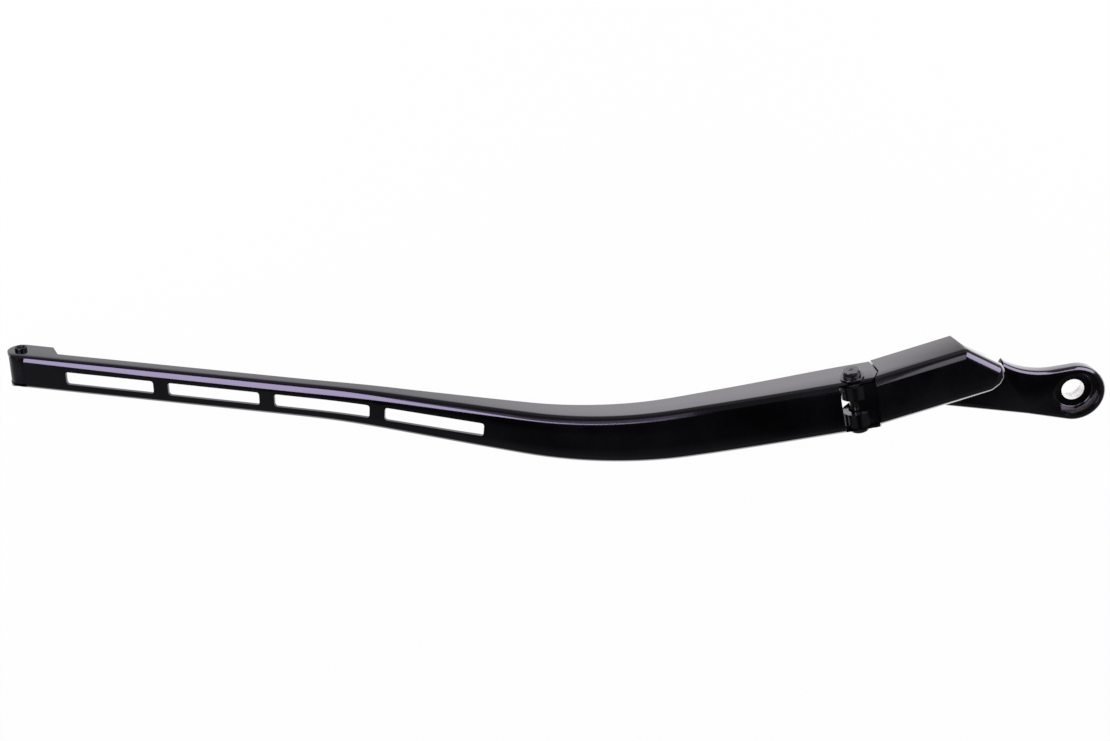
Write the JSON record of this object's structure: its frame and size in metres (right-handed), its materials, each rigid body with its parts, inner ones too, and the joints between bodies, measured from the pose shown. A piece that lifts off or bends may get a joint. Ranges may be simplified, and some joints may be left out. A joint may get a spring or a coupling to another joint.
{
  "type": "wiper arm",
  "caption": "Sprung front wiper arm: bent steel channel with slots in its face, hinged on a cast head with a serrated spindle bore, and a swivelling blade adapter at the tip.",
  "frame": {"origin": "centre of the spindle bore, on the seat that faces the vehicle", "axes": "+Z along the spindle, away from the glass; the arm runs towards -X; +Y is the side of the hinge pin's head"},
  "size_m": [0.6156, 0.0731, 0.0854],
  "materials": {
    "black_coat": "satin black powder coat on steel",
    "black_casting": "satin black coat on die-cast aluminium",
    "black_steel": "black oxide steel",
    "zinc_steel": "zinc plated steel",
    "spring_steel": "drawn spring wire",
    "bronze": "sintered bronze",
    "nylon": "natural nylon",
    "black_plastic": "moulded black acetal"
  },
  "bodies": {
    "head": {"mounting_head": "black_casting", "upper_hinge_bush": "bronze", "lower_hinge_bush": "bronze", "head_anchor_pin": "zinc_steel"},
    "arm": {"arm_channel": "black_coat", "hinge_pin": "black_steel", "hinge_pin_washer": "black_steel", "hinge_pin_collar": "black_steel", "upper_thrust_washer": "nylon", "lower_thrust_washer": "nylon", "spring_bracket": "zinc_steel", "tension_spring": "spring_steel", "tip_pin": "zinc_steel", "tip_pin_collar": "zinc_steel", "upper_tip_washer": "nylon", "lower_tip_washer": "nylon"},
    "link": {"spring_link": "zinc_steel"},
    "adapter": {"blade_adapter": "black_plastic", "adapter_sleeve": "zinc_steel"}
  },
  "joints": [
    {"name": "arm_fold", "type": "hinge", "parent": "head", "child": "arm", "pos_m": [-0.1195, -0.0028, 0.02], "axis": [-0.2147, 0.9767, 0], "range_deg": [0, 80], "stiffness_Nm_per_rad": 0.8, "springref_deg": -68.75, "deforming": ["tension_spring"]},
    {"name": "link_swing", "type": "hinge", "parent": "head", "child": "link", "pos_m": [-0.11706, -0.00226, 0.0121], "axis": [-0.2147, 0.9767, 0], "range_deg": [0, 77]},
    {"name": "adapter_swivel", "type": "hinge", "parent": "arm", "child": "adapter", "pos_m": [-0.59158, -0.01491, -0.04862], "axis": [0.0262, 0.9997, 0], "range_deg": [-12, 28]}
  ],
  "couplings": [
    {"joint": "link_swing", "follows": "arm_fold", "ratio": 0.95}
  ]
}
